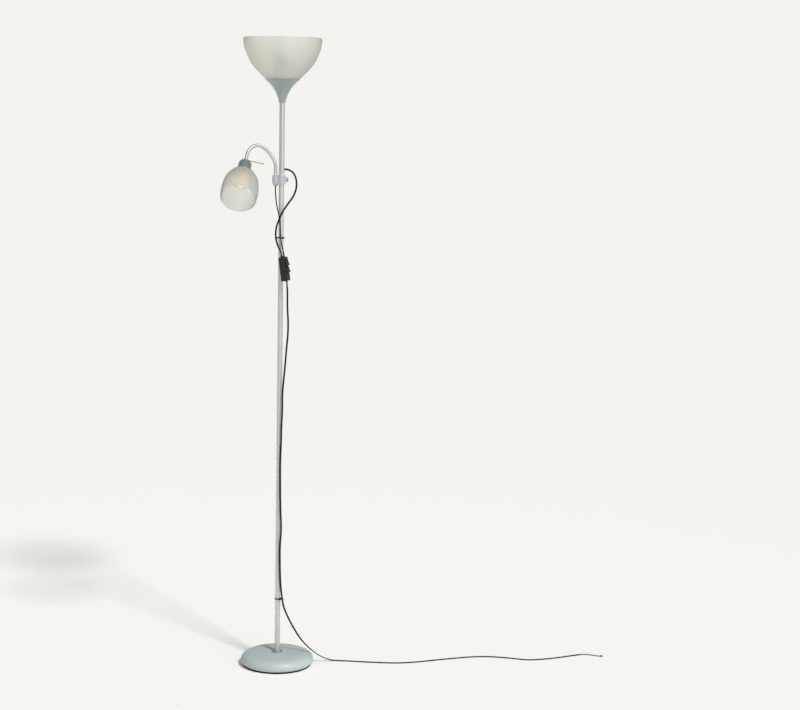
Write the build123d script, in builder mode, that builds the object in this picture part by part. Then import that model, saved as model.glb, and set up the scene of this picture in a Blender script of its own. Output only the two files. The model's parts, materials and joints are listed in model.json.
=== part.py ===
from build123d import *
import os
from math import cos, pi, radians, sin, tan

# Torchiere floor lamp with a reading light on a flexible neck.
# Millimetres. Origin: centre of the base pad's underside. +Z up, +X towards the mains
# cord's free end, -Y towards the side that the reading light's mouth faces.

# ---------------------------------------------------------------- driving dimensions
TOTAL_HEIGHT = 1799.0

# base
BASE_RADIUS = 105.4
BASE_TOP = 37.0
BASE_FLAT_RADIUS = 20.0
BASE_SHEET = 1.2
BASE_LIP_RADIUS = 99.5
BASE_SIDE_HEIGHT = 16.0
PAD_THICKNESS = 5.0
PAD_RADIUS = 98.8
WEIGHT_RADIUS = 86.0
WEIGHT_TOP = 22.0
NUT_RECESS_RADIUS = 16.0
NUT_RECESS_TOP = 15.2
NUT_HEIGHT = 6.5
NUT_FLATS = 17.0
WASHER_HEIGHT = 1.8
WASHER_RADIUS = 12.0
STUD_LIFT = 1.5
STUD_HEAD_FOOT = 3.0
STUD_HEAD_LENGTH = 16.0
FOOT_RING_RADIUS = 15.5
FOOT_RING_HEIGHT = 3.6

# pole
POLE_RADIUS = 7.5
POLE_WALL = 1.0
POLE_TOP = 1646.0
POLE_SECTIONS = 4
POLE_EDGE = 0.3
COUPLER_LENGTH = 36.0
NIPPLE_PLUG = 20.0
NIPPLE_THREAD = 16.0
THREAD_RADIUS = 5.0
WIRE_BORE = 3.2
RUNNING_GAP = 0.08
LOOSE_GAP = 0.15
FIT_GAP = 0.05

# cup and bowl shade at the top
CUP_BOTTOM = 1620.6
CUP_RIM = 1685.3
CUP_RIM_RADIUS = 49.5
CUP_FOOT_RADIUS = 8.9
CUP_WALL = 1.8
DECK_TOP = 1683.3
DECK_THICKNESS = 2.8
DECK_EDGE = 46.3
HOLDER_RADIUS = 17.0
SHADE_WALL = 1.6
BOWL_RADIUS = 110.2
BULB_RADIUS = 30.0
BULB_TOP = 1789.0
BULB_CAP_RADIUS = 13.2

# clamp on the pole
CLAMP_BOTTOM = 1395.0
CLAMP_HEIGHT = 24.0
CLAMP_POLE_BOSS = 12.0
CLAMP_NECK_BOSS = 8.8
LINER_WALL = 1.1
LINER_FLANGE = 1.0
SCREW_RADIUS = 2.5
WING_REACH = 19.0

# flexible neck
NECK_X = -17.0
NECK_RADIUS = 5.0
NECK_VALLEY = 4.45
NECK_BORE = 3.0
NECK_RIB_PITCH = 3.1
NECK_STRAIGHT_TOP = 1442.0
NECK_BOTTOM = 1390.0
NECK_JOINT_GAP = 1.5
NECK_JOINT_REACH = (78.0, 111.0, 144.0, 177.0, 210.0)
NECK_INTO_CAP = 9.0

# reading head: it points where its mouth faces
HEAD_TOP = Vector(-91.2, -113.0, 1458.0)
HEAD_AXIS = Vector(-0.058, -0.771, -0.635).normalized()
HEAD_SIDE = HEAD_AXIS.cross(Vector(0.978, 0.108, -0.170).cross(HEAD_AXIS)).normalized()
CAP_LENGTH = 42.0
CAP_RADIUS = 18.7
CAP_WALL = 1.5
SMALL_HOLDER_RADIUS = 12.8
SMALL_SHADE_END = 148.0
SMALL_SHADE_MOUTH = 49.0
SMALL_BULB_RADIUS = 22.5
HANDLE_RADIUS = 1.1
HANDLE_START = 4.5
HANDLE_END = 50.0
HANDLE_DEPTH = 4.5
HANDLE_OVER = 10.5
HANDLE_TIP = 4.0
HANDLE_TIP_RADIUS = 1.5

# inline double switch, leaning a little beside the pole
SWITCH_CENTRE = Vector(12.0, -24.5, 1157.5)
SWITCH_UP = Vector(-0.136, 0, 0.991)
SWITCH_FACE = Vector(0.927, -0.375, 0)
SWITCH_THICKNESS = 19.0
SWITCH_WIDTH = 27.0
SWITCH_LENGTH = 67.0
SWITCH_WALL = 1.6
SWITCH_COLLAR = 3.0
ENTRY_OFFSET = 3.8
EXIT_OFFSET = 2.0
ROCKER_PLACES = (17.0, -3.0)
ROCKER_HALF = 7.4
ROCKER_WIDTH = 15.0
ROCKER_PIVOT = 6.5
ROCKER_BOSS = 2.1
PIN_REACH = 10.4
ROCKER_WINDOW_HALF = 9.3

# cords
CORD_RADIUS = 2.0
CORD_HOLE = 2.1
EXIT_HEIGHT = 1436.0
EXIT_AZIMUTH = 40.0
GROMMET_FACE = 9.0
GROMMET_INNER_END = 5.4
GROMMET_RADIUS = 4.4
TIE_WIDTH = 3.0
TIE_THICKNESS = 1.1
UPPER_TIE_HEIGHT = 1244.0
LOWER_TIE_HEIGHT = 195.5
TAIL_RADIUS = 1.2
END_CAP_RADIUS = 2.2

os.makedirs("parts", exist_ok=True)


# ---------------------------------------------------------------- helpers
def finish(part, label):
    """Label one finished piece and write it as its own file."""
    part.label = label
    export_step(part, f"parts/{label}.step")


def ring(outer, inner, low, high, edge=0.0):
    """A round collar about the pole's axis, its outer edges eased by edge."""
    with BuildPart() as piece:
        with BuildSketch(Plane.XY.offset(low)):
            Circle(outer)
            Circle(inner, mode=Mode.SUBTRACT)
        extrude(amount=high - low)
        if edge:
            rims = piece.edges().filter_by(GeomType.CIRCLE).sort_by(SortBy.RADIUS)[-2:]
            chamfer(rims, edge)
    return piece.part


def corner_radii(route):
    """The largest easy radius for each corner of a route: 0.45 of its shorter run."""
    points = [Vector(*p) for p in route]
    radii = []
    for before, corner, after in zip(points, points[1:], points[2:]):
        run_in = corner - before
        run_out = after - corner
        turn = radians(run_in.get_angle(run_out))
        radii.append(0.45 * min(run_in.length, run_out.length) / tan(turn / 2))
    return radii


def cord_tube(route, label, radius=CORD_RADIUS, radii=None):
    """A round tube along straight runs joined by tangent arcs."""
    bends = radii or corner_radii(route)
    start = Vector(*route[0])
    with BuildPart() as tube:
        with BuildLine() as line:
            FilletPolyline(*route, radius=bends)
        with BuildSketch(Plane(origin=start, z_dir=Vector(*route[1]) - start)):
            Circle(radius)
        sweep()
    length = sum(e.length for e in line.edges())
    share = tube.part.volume / (pi * radius**2 * length)
    print(f"{label}: length {length:.0f}, radii {min(bends):.1f} to {max(bends):.1f}, share {share:.4f}")
    finish(tube.part, label)


# ---------------------------------------------------------------- base
with BuildPart() as base_cover:
    with BuildSketch(Plane.XZ):
        with BuildLine():
            flat = Line((THREAD_RADIUS + LOOSE_GAP, BASE_TOP), (BASE_FLAT_RADIUS, BASE_TOP))
            crown = Spline(
                flat @ 1,
                (60.0, BASE_TOP - 0.6),
                (85.0, BASE_TOP - 2.8),
                (99.0, BASE_TOP - 9.0),
                (BASE_RADIUS, BASE_SIDE_HEIGHT),
                tangents=((1, 0), (0, -1)),
            )
            lip = ThreePointArc(crown @ 1, (103.9, 9.8), (BASE_LIP_RADIUS, PAD_THICKNESS))
            hem = Line(lip @ 1, (BASE_LIP_RADIUS - BASE_SHEET, PAD_THICKNESS))
            wall = ThreePointArc(hem @ 1, (102.8, 10.2), (BASE_RADIUS - BASE_SHEET, BASE_SIDE_HEIGHT))
            inside = Spline(
                wall @ 1,
                (98.1, BASE_TOP - 9.8),
                (84.6, BASE_TOP - 3.95),
                (59.9, BASE_TOP - 1.8),
                (BASE_FLAT_RADIUS, BASE_TOP - BASE_SHEET),
                tangents=((0, 1), (-1, 0)),
            )
            under = Line(inside @ 1, (THREAD_RADIUS + LOOSE_GAP, BASE_TOP - BASE_SHEET))
            Line(under @ 1, flat @ 0)
        make_face()
    revolve(axis=Axis.Z)
finish(base_cover.part, "base_cover")

with BuildPart() as base_weight:
    with BuildSketch(Plane.XY.offset(PAD_THICKNESS)):
        Circle(WEIGHT_RADIUS)
    extrude(amount=WEIGHT_TOP - PAD_THICKNESS)
    top_edge = base_weight.edges().group_by(Axis.Z)[-1]
    chamfer(top_edge, 4)
    with BuildSketch(Plane.XY.offset(WEIGHT_TOP)):
        Circle(BASE_FLAT_RADIUS - 1)
    extrude(amount=BASE_TOP - BASE_SHEET - WEIGHT_TOP)
    with Locations((0, 0, PAD_THICKNESS)):
        Cylinder(
            NUT_RECESS_RADIUS,
            NUT_RECESS_TOP - PAD_THICKNESS,
            align=(Align.CENTER, Align.CENTER, Align.MIN),
            mode=Mode.SUBTRACT,
        )
    with Locations((0, 0, BASE_TOP)):
        Hole(THREAD_RADIUS + LOOSE_GAP)
finish(base_weight.part, "base_weight")

with BuildPart() as base_pad:
    Cylinder(PAD_RADIUS, PAD_THICKNESS, align=(Align.CENTER, Align.CENTER, Align.MIN))
    chamfer(base_pad.edges().group_by(Axis.Z)[0], 0.5)
finish(base_pad.part, "base_pad")

# hollow threaded stud, with a wider head that is pressed into the pole's foot
with BuildPart() as base_stud:
    with BuildSketch(Plane.XY.offset(PAD_THICKNESS + STUD_LIFT)):
        Circle(THREAD_RADIUS)
    extrude(amount=BASE_TOP - PAD_THICKNESS - STUD_LIFT + STUD_HEAD_FOOT)
    with BuildSketch(Plane.XY.offset(BASE_TOP + STUD_HEAD_FOOT)):
        Circle(POLE_RADIUS - POLE_WALL)
    extrude(amount=STUD_HEAD_LENGTH)
    with Locations((0, 0, BASE_TOP + STUD_HEAD_FOOT + STUD_HEAD_LENGTH)):
        Hole(WIRE_BORE)
finish(base_stud.part, "base_stud")

with BuildPart() as base_nut:
    with BuildSketch(Plane.XY.offset(NUT_RECESS_TOP - WASHER_HEIGHT - NUT_HEIGHT)):
        RegularPolygon(NUT_FLATS / 2, 6, major_radius=False)
        Circle(THREAD_RADIUS, mode=Mode.SUBTRACT)
    extrude(amount=NUT_HEIGHT)
finish(base_nut.part, "base_nut")

finish(
    ring(WASHER_RADIUS, THREAD_RADIUS + LOOSE_GAP, NUT_RECESS_TOP - WASHER_HEIGHT, NUT_RECESS_TOP),
    "base_washer",
)
finish(
    ring(FOOT_RING_RADIUS, POLE_RADIUS + LOOSE_GAP, BASE_TOP, BASE_TOP + FOOT_RING_HEIGHT, 1.4),
    "foot_ring",
)

# ---------------------------------------------------------------- pole
exit_direction = Vector(cos(radians(EXIT_AZIMUTH)), sin(radians(EXIT_AZIMUTH)), 0)
section_length = (POLE_TOP - BASE_TOP) / POLE_SECTIONS

for number in range(POLE_SECTIONS):
    foot = BASE_TOP + number * section_length
    with BuildPart() as pole_section:
        with BuildSketch(Plane.XY.offset(foot)):
            Circle(POLE_RADIUS)
            Circle(POLE_RADIUS - POLE_WALL, mode=Mode.SUBTRACT)
        extrude(amount=section_length)
        ends = pole_section.edges().filter_by(GeomType.CIRCLE).sort_by(SortBy.RADIUS)[-2:]
        chamfer(ends, POLE_EDGE)
        if number == POLE_SECTIONS - 1:
            with BuildSketch(Plane(origin=(0, 0, EXIT_HEIGHT), z_dir=exit_direction)):
                Circle(WIRE_BORE)
            extrude(amount=2 * POLE_RADIUS, mode=Mode.SUBTRACT)
    finish(pole_section.part, f"pole_section_{number + 1}")

for number in range(1, POLE_SECTIONS):
    middle = BASE_TOP + number * section_length
    foot = middle - COUPLER_LENGTH / 2
    coupler = ring(POLE_RADIUS - POLE_WALL, WIRE_BORE, foot, foot + COUPLER_LENGTH, 0.5)
    finish(coupler, f"pole_coupler_{number}")

# nipple that closes the pole's top and carries the lampholder
with BuildPart() as top_nipple:
    with BuildSketch(Plane.XY.offset(POLE_TOP - NIPPLE_PLUG)):
        Circle(POLE_RADIUS - POLE_WALL)
    extrude(amount=NIPPLE_PLUG)
    with BuildSketch(Plane.XY.offset(POLE_TOP)):
        Circle(THREAD_RADIUS)
    extrude(amount=NIPPLE_THREAD)
    with Locations((0, 0, POLE_TOP + NIPPLE_THREAD)):
        Hole(WIRE_BORE)
finish(top_nipple.part, "top_nipple")

# rubber bush where the upper light's wire leaves the pole
exit_plane = Plane(origin=(0, 0, EXIT_HEIGHT), z_dir=exit_direction)
with BuildPart() as pole_grommet:
    with BuildSketch(exit_plane.offset(GROMMET_INNER_END)):
        Circle(WIRE_BORE - FIT_GAP)
    extrude(amount=GROMMET_FACE - GROMMET_INNER_END)
    with BuildSketch(exit_plane.offset(POLE_RADIUS + 2 * FIT_GAP)):
        Circle(GROMMET_RADIUS)
    extrude(amount=GROMMET_FACE - POLE_RADIUS - 2 * FIT_GAP)
    with BuildSketch(exit_plane):
        Circle(CORD_HOLE)
    extrude(amount=2 * GROMMET_FACE, mode=Mode.SUBTRACT)
finish(pole_grommet.part, "pole_grommet")

# ---------------------------------------------------------------- cup, bowl shade and bulb
with BuildPart() as shade_cup:
    with BuildSketch(Plane.XZ):
        with BuildLine():
            flare = ThreePointArc((CUP_RIM_RADIUS, CUP_RIM), (22.4, 1656.4), (CUP_FOOT_RADIUS, CUP_BOTTOM))
            foot_edge = Line(flare @ 1, (POLE_RADIUS + LOOSE_GAP, CUP_BOTTOM))
            sleeve = Line(foot_edge @ 1, (POLE_RADIUS + LOOSE_GAP, 1634.0))
            ledge = Line(sleeve @ 1, (10.3, 1634.0))
            inner = ThreePointArc(ledge @ 1, (20.0, 1656.0), (39.6, DECK_TOP - DECK_THICKNESS))
            ceiling = Line(inner @ 1, (HOLDER_RADIUS + LOOSE_GAP, DECK_TOP - DECK_THICKNESS))
            opening = Line(ceiling @ 1, (HOLDER_RADIUS + LOOSE_GAP, DECK_TOP))
            deck = Line(opening @ 1, (DECK_EDGE, DECK_TOP))
            step = Line(deck @ 1, (CUP_RIM_RADIUS - 1, CUP_RIM))
            Line(step @ 1, flare @ 0)
        make_face()
    revolve(axis=Axis.Z)
finish(shade_cup.part, "shade_cup")

BOWL_FOOT_RADIUS = DECK_EDGE - 0.4
with BuildPart() as bowl_shade:
    with BuildSketch(Plane.XZ):
        with BuildLine():
            floor_line = Line((HOLDER_RADIUS + LOOSE_GAP, DECK_TOP), (BOWL_FOOT_RADIUS, DECK_TOP))
            outside = Spline(
                floor_line @ 1,
                (78.3, 1716.4),
                (99.2, 1751.0),
                (BOWL_RADIUS, TOTAL_HEIGHT),
                tangents=((0.66, 0.75), (0.03, 1)),
            )
            rim = Line(outside @ 1, (BOWL_RADIUS - SHADE_WALL, TOTAL_HEIGHT))
            within = Spline(
                rim @ 1,
                (97.7, 1751.7),
                (77.1, 1717.5),
                (BOWL_FOOT_RADIUS - 0.8, DECK_TOP + SHADE_WALL),
                tangents=((-0.03, -1), (-0.66, -0.75)),
            )
            floor_top = Line(within @ 1, (HOLDER_RADIUS + LOOSE_GAP, DECK_TOP + SHADE_WALL))
            Line(floor_top @ 1, floor_line @ 0)
        make_face()
    revolve(axis=Axis.Z)
finish(bowl_shade.part, "bowl_shade")

with BuildPart() as lampholder:
    with BuildSketch(Plane.XZ):
        with BuildLine():
            Polyline(
                (THREAD_RADIUS, 1649.0),
                (9.0, 1649.0),
                (9.0, 1654.0),
                (HOLDER_RADIUS, 1661.0),
                (HOLDER_RADIUS, 1677.0),
                (19.4, 1677.0),
                (19.4, DECK_TOP - DECK_THICKNESS),
                (HOLDER_RADIUS, DECK_TOP - DECK_THICKNESS),
                (HOLDER_RADIUS, 1696.0),
                (BULB_CAP_RADIUS + 0.6, 1696.0),
                (BULB_CAP_RADIUS + 0.6, 1668.0),
                (WIRE_BORE, 1668.0),
                (WIRE_BORE, 1662.0),
                (THREAD_RADIUS, 1662.0),
                close=True,
            )
        make_face()
    revolve(axis=Axis.Z)
finish(lampholder.part, "lampholder")

finish(
    ring(23.5, HOLDER_RADIUS + 0.05, DECK_TOP + SHADE_WALL, DECK_TOP + SHADE_WALL + 6, 1.0),
    "shade_ring",
)

with BuildPart() as bulb_cap:
    with BuildSketch(Plane.XZ):
        with BuildLine():
            Polyline(
                (0, 1670.5),
                (4.5, 1670.5),
                (10.5, 1674.5),
                (BULB_CAP_RADIUS, 1676.0),
                (BULB_CAP_RADIUS, 1697.0),
                (0, 1697.0),
                close=True,
            )
        make_face()
    revolve(axis=Axis.Z)
finish(bulb_cap.part, "bulb_cap")

with BuildPart() as bulb_globe:
    with BuildSketch(Plane.XZ):
        with BuildLine():
            side = Spline(
                (BULB_CAP_RADIUS + 0.3, 1697.0),
                (17.0, 1718.0),
                (BULB_RADIUS, 1759.0),
                (0, BULB_TOP),
                tangents=((0.05, 1), (-1, 0)),
            )
            Polyline(side @ 1, (0, 1697.0), side @ 0)
        make_face()
    revolve(axis=Axis.Z)
finish(bulb_globe.part, "bulb_globe")

# ---------------------------------------------------------------- clamp on the pole
CLAMP_TOP = CLAMP_BOTTOM + CLAMP_HEIGHT
LINER_RADIUS = POLE_RADIUS + RUNNING_GAP + LINER_WALL
LINER_BORE = POLE_RADIUS + RUNNING_GAP
SCREW_HEIGHT = CLAMP_BOTTOM + CLAMP_HEIGHT / 2

# flanged sleeve: it slides on the pole, and the clamp swivels on it
with BuildPart() as clamp_liner:
    with BuildSketch(Plane.XY.offset(CLAMP_BOTTOM - LINER_FLANGE - LOOSE_GAP)):
        Circle(LINER_RADIUS)
    extrude(amount=CLAMP_HEIGHT + 2 * LINER_FLANGE + 2 * LOOSE_GAP)
    for flange_foot in (CLAMP_BOTTOM - LINER_FLANGE - LOOSE_GAP, CLAMP_TOP + LOOSE_GAP):
        with BuildSketch(Plane.XY.offset(flange_foot)):
            Circle(LINER_RADIUS + 0.7)
        extrude(amount=LINER_FLANGE)
    with Locations((0, 0, CLAMP_TOP + LOOSE_GAP + LINER_FLANGE)):
        Hole(LINER_BORE)
finish(clamp_liner.part, "clamp_liner")

with BuildPart() as clamp_body:
    with BuildSketch(Plane.XY.offset(CLAMP_BOTTOM)):
        Circle(CLAMP_POLE_BOSS)
        with Locations((NECK_X, 0)):
            Circle(CLAMP_NECK_BOSS)
        with Locations((NECK_X / 2, 0)):
            Rectangle(-NECK_X, 2 * CLAMP_NECK_BOSS - 3)
    extrude(amount=CLAMP_HEIGHT)
    outline = clamp_body.edges().group_by(Axis.Z)[-1] + clamp_body.edges().group_by(Axis.Z)[0]
    fillet(outline, 1.0)
    with BuildSketch(Plane(origin=(0, 0, SCREW_HEIGHT), z_dir=(1, 0, 0))):
        Circle(6.2)
    extrude(amount=CLAMP_POLE_BOSS + 1.6)
    with BuildSketch(Plane.XY.offset(CLAMP_BOTTOM)):
        Circle(LINER_RADIUS + RUNNING_GAP)
        with Locations((NECK_X, 0)):
            Circle(NECK_RADIUS + 0.05)
    extrude(amount=CLAMP_HEIGHT, mode=Mode.SUBTRACT)
    with BuildSketch(Plane(origin=(LINER_RADIUS - 1, 0, SCREW_HEIGHT), z_dir=(1, 0, 0))):
        Circle(SCREW_RADIUS + RUNNING_GAP)
    extrude(amount=20, mode=Mode.SUBTRACT)
finish(clamp_body.part, "clamp_body")

# screw with a flat wing that a thumb and finger turn
with BuildPart() as thumb_screw:
    with BuildSketch(Plane(origin=(LINER_RADIUS + 0.3, 0, SCREW_HEIGHT), z_dir=(1, 0, 0))):
        Circle(SCREW_RADIUS)
    extrude(amount=14.4 - LINER_RADIUS - 0.3)
    with BuildSketch(Plane(origin=(13.9, 0, SCREW_HEIGHT), z_dir=(1, 0, 0))):
        Circle(3.6)
    extrude(amount=1.6)
    with BuildSketch(Plane(origin=(0, -1.3, SCREW_HEIGHT), x_dir=(1, 0, 0), z_dir=(0, 1, 0))):
        with BuildLine():
            Polyline(
                (14.2, -3.2),
                (16.0, -7.3),
                (WING_REACH, -7.3),
                (WING_REACH, 7.3),
                (16.0, 7.3),
                (14.2, 3.2),
                close=True,
            )
        make_face()
    extrude(amount=2.6)
    wing_corners = thumb_screw.edges().filter_by(Axis.Y).group_by(Axis.X)[-1]
    fillet(wing_corners, 1.4)
finish(thumb_screw.part, "thumb_screw")

# ---------------------------------------------------------------- flexible neck
with BuildLine() as neck_path:
    neck_curve = Spline(
        (NECK_X, 0, NECK_STRAIGHT_TOP),
        (-29.5, -8.0, 1474.0),
        (-61.5, -38.0, 1501.5),
        (-84.5, -75.0, 1489.5),
        HEAD_TOP,
        tangents=((0, 0, 1), HEAD_AXIS),
    )

NECK_STRAIGHT = NECK_STRAIGHT_TOP - NECK_BOTTOM
NECK_LENGTH = NECK_STRAIGHT + neck_curve.length
NECK_TWIST_GUIDE = Vector(0.77, -0.64, 0)


def neck_at(reach):
    """Place and direction on the neck's centreline, reach along it from its lower end."""
    if reach <= NECK_STRAIGHT:
        return Vector(NECK_X, 0, NECK_BOTTOM + reach), Vector(0, 0, 1)
    if reach >= NECK_LENGTH:
        return HEAD_TOP + HEAD_AXIS * (reach - NECK_LENGTH), HEAD_AXIS
    along = reach - NECK_STRAIGHT
    return (
        neck_curve.position_at(along, position_mode=PositionMode.LENGTH),
        neck_curve.tangent_at(along, position_mode=PositionMode.LENGTH),
    )


def neck_plane(reach):
    place, direction = neck_at(reach)
    return Plane(origin=place, x_dir=NECK_TWIST_GUIDE, z_dir=direction)


def neck_link(low, high):
    """One stretch of the wound tube: ribs of four circles each, and its bore."""
    ribs = round((high - low) / NECK_RIB_PITCH)
    pitch = (high - low) / ribs
    with BuildPart() as link:
        for rib in range(ribs):
            foot = low + rib * pitch
            for share, radius in ((0, NECK_VALLEY), (0.2, NECK_RADIUS), (0.8, NECK_RADIUS)):
                with BuildSketch(neck_plane(foot + share * pitch)):
                    Circle(radius)
        with BuildSketch(neck_plane(high)):
            Circle(NECK_VALLEY)
        loft(ruled=True)
        for rib in range(ribs + 1):
            with BuildSketch(neck_plane(low + rib * pitch)):
                Circle(NECK_BORE)
        loft(ruled=True, mode=Mode.SUBTRACT)
    return link.part


neck_marks = (0.0, *NECK_JOINT_REACH, NECK_LENGTH + NECK_INTO_CAP)
neck_joints = []
for number, (low, high) in enumerate(zip(neck_marks, neck_marks[1:])):
    low_end = low + (NECK_JOINT_GAP / 2 if number else 0)
    high_end = high - (NECK_JOINT_GAP / 2 if number < len(NECK_JOINT_REACH) else 0)
    finish(neck_link(low_end, high_end), f"neck_link_{number + 1}")

# at each joint the neck bends in its own plane or turns out of it
for reach in NECK_JOINT_REACH:
    across = neck_plane(reach)
    neck_joints.append((across.origin, across.x_dir, across.y_dir))

with BuildPart() as neck_nut:
    with BuildSketch(Plane.XY.offset(NECK_BOTTOM + 0.6)):
        with Locations((NECK_X, 0)):
            RegularPolygon(6.0, 6, major_radius=False)
            Circle(NECK_RADIUS + 0.05, mode=Mode.SUBTRACT)
    extrude(amount=CLAMP_BOTTOM - NECK_BOTTOM - 0.6)
finish(neck_nut.part, "neck_nut")

with BuildPart() as neck_bush:
    with BuildSketch(Plane.XY.offset(NECK_BOTTOM - 1.5)):
        with Locations((NECK_X, 0)):
            Circle(4.4)
            Circle(CORD_HOLE, mode=Mode.SUBTRACT)
    extrude(amount=1.5)
    with BuildSketch(Plane.XY.offset(NECK_BOTTOM)):
        with Locations((NECK_X, 0)):
            Circle(NECK_BORE - 0.05)
            Circle(CORD_HOLE, mode=Mode.SUBTRACT)
    extrude(amount=6)
finish(neck_bush.part, "neck_bush")

# ---------------------------------------------------------------- reading head
# on this plane x is the distance from the head's axis and y the way from the cap to the mouth
head_plane = Plane(origin=HEAD_TOP, x_dir=HEAD_SIDE, z_dir=HEAD_SIDE.cross(HEAD_AXIS))
head_axis = Axis(HEAD_TOP, head_plane.y_dir)


def head_collar(outer, inner, low, high):
    """A round collar about the head's axis, low and high measured from the cap's top."""
    with BuildPart() as piece:
        with BuildSketch(head_plane):
            with Locations(((outer + inner) / 2, (low + high) / 2)):
                Rectangle(outer - inner, high - low)
        revolve(axis=head_axis)
    return piece.part


# the handle lies across the cap's shoulder, on the side of the neck's last bend
handle_foot = HEAD_TOP + HEAD_AXIS * HANDLE_DEPTH + HEAD_AXIS.cross(HEAD_SIDE) * HANDLE_OVER
handle_plane = Plane(origin=handle_foot + HEAD_SIDE * HANDLE_START, z_dir=HEAD_SIDE)

with BuildPart() as head_cap:
    with BuildSketch(head_plane):
        with BuildLine():
            dome = ThreePointArc((NECK_RADIUS + LOOSE_GAP, 0), (13.6, 3.0), (17.3, 10.5))
            skirt = Line(dome @ 1, (CAP_RADIUS, CAP_LENGTH))
            mouth = Line(skirt @ 1, (CAP_RADIUS - CAP_WALL, CAP_LENGTH))
            lining = Line(mouth @ 1, (17.3 - CAP_WALL, 11.0))
            vault = ThreePointArc(lining @ 1, (12.5, 4.4), (NECK_RADIUS + LOOSE_GAP, CAP_WALL))
            Line(vault @ 1, dome @ 0)
        make_face()
    revolve(axis=head_axis)
    with BuildSketch(handle_plane):
        Circle(HANDLE_RADIUS + FIT_GAP)
    extrude(amount=CAP_RADIUS, mode=Mode.SUBTRACT)
finish(head_cap.part, "head_cap")

finish(head_collar(8.0, NECK_RADIUS + 0.05, CAP_WALL + 0.4, 8.0), "neck_end_nut")

# thin rod that a hand moves the warm head by, pressed into the cap's shoulder
with BuildPart() as head_handle:
    with BuildSketch(handle_plane):
        Circle(HANDLE_RADIUS)
    extrude(amount=HANDLE_END - HANDLE_START)
    with BuildSketch(handle_plane.offset(HANDLE_END - HANDLE_START - HANDLE_TIP)):
        Circle(HANDLE_TIP_RADIUS)
    extrude(amount=HANDLE_TIP)
finish(head_handle.part, "head_handle")

with BuildPart() as small_lampholder:
    with BuildSketch(head_plane):
        with BuildLine():
            Polyline(
                (2.2, 9.0),
                (10.0, 9.0),
                (SMALL_HOLDER_RADIUS, 14.0),
                (SMALL_HOLDER_RADIUS, 39.0),
                (15.4, 39.0),
                (15.4, CAP_LENGTH),
                (SMALL_HOLDER_RADIUS, CAP_LENGTH),
                (SMALL_HOLDER_RADIUS, 49.0),
                (7.7, 49.0),
                (7.7, 22.0),
                (2.2, 22.0),
                close=True,
            )
        make_face()
    revolve(axis=head_axis)
finish(small_lampholder.part, "small_lampholder")

with BuildPart() as small_shade:
    with BuildSketch(head_plane):
        with BuildLine():
            collar = Line((SMALL_HOLDER_RADIUS + LOOSE_GAP, CAP_LENGTH), (CAP_RADIUS - 0.4, CAP_LENGTH))
            outer_bell = Spline(
                collar @ 1,
                (31.0, 53.0),
                (45.6, 82.0),
                (50.3, 121.0),
                (SMALL_SHADE_MOUTH, SMALL_SHADE_END),
                tangents=((1, 0.55), (-0.1, 1)),
            )
            lip_line = Line(outer_bell @ 1, (SMALL_SHADE_MOUTH - SHADE_WALL, SMALL_SHADE_END - 0.3))
            inner_bell = Spline(
                lip_line @ 1,
                (48.7, 121.0),
                (44.1, 82.6),
                (30.0, 54.3),
                (CAP_RADIUS - 0.9, CAP_LENGTH + SHADE_WALL),
                tangents=((0.1, -1), (-1, -0.55)),
            )
            seat = Line(inner_bell @ 1, (SMALL_HOLDER_RADIUS + LOOSE_GAP, CAP_LENGTH + SHADE_WALL))
            Line(seat @ 1, collar @ 0)
        make_face()
    revolve(axis=head_axis)
finish(small_shade.part, "small_shade")

finish(
    head_collar(17.0, SMALL_HOLDER_RADIUS + 0.05, CAP_LENGTH + SHADE_WALL, CAP_LENGTH + SHADE_WALL + 5),
    "small_shade_ring",
)

with BuildPart() as small_bulb_cap:
    with BuildSketch(head_plane):
        with BuildLine():
            Polyline((0, 23.5), (3.0, 23.5), (6.9, 27.0), (6.9, 50.0), (0, 50.0), close=True)
        make_face()
    revolve(axis=head_axis)
finish(small_bulb_cap.part, "small_bulb_cap")

SMALL_BULB_CENTRE = 80.5
SMALL_BULB_WRAP = 144.7
GLASS = 0.8
with BuildPart() as small_bulb_globe:
    with BuildSketch(head_plane):
        with BuildLine():
            ball = CenterArc((0, SMALL_BULB_CENTRE), SMALL_BULB_RADIUS, 90, -SMALL_BULB_WRAP)
            throat = Spline(ball @ 1, (7.6, 50.0), tangents=(ball % 1, (0, -1)))
            hollow = CenterArc((0, SMALL_BULB_CENTRE), SMALL_BULB_RADIUS - GLASS, 90, -SMALL_BULB_WRAP)
            throat_inside = Spline(hollow @ 1, (7.6 - GLASS, 50.0), tangents=(hollow % 1, (0, -1)))
            Line(throat @ 1, throat_inside @ 1)
            Line(ball @ 0, hollow @ 0)
        make_face()
    revolve(axis=head_axis)
finish(small_bulb_globe.part, "small_bulb_globe")

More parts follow.
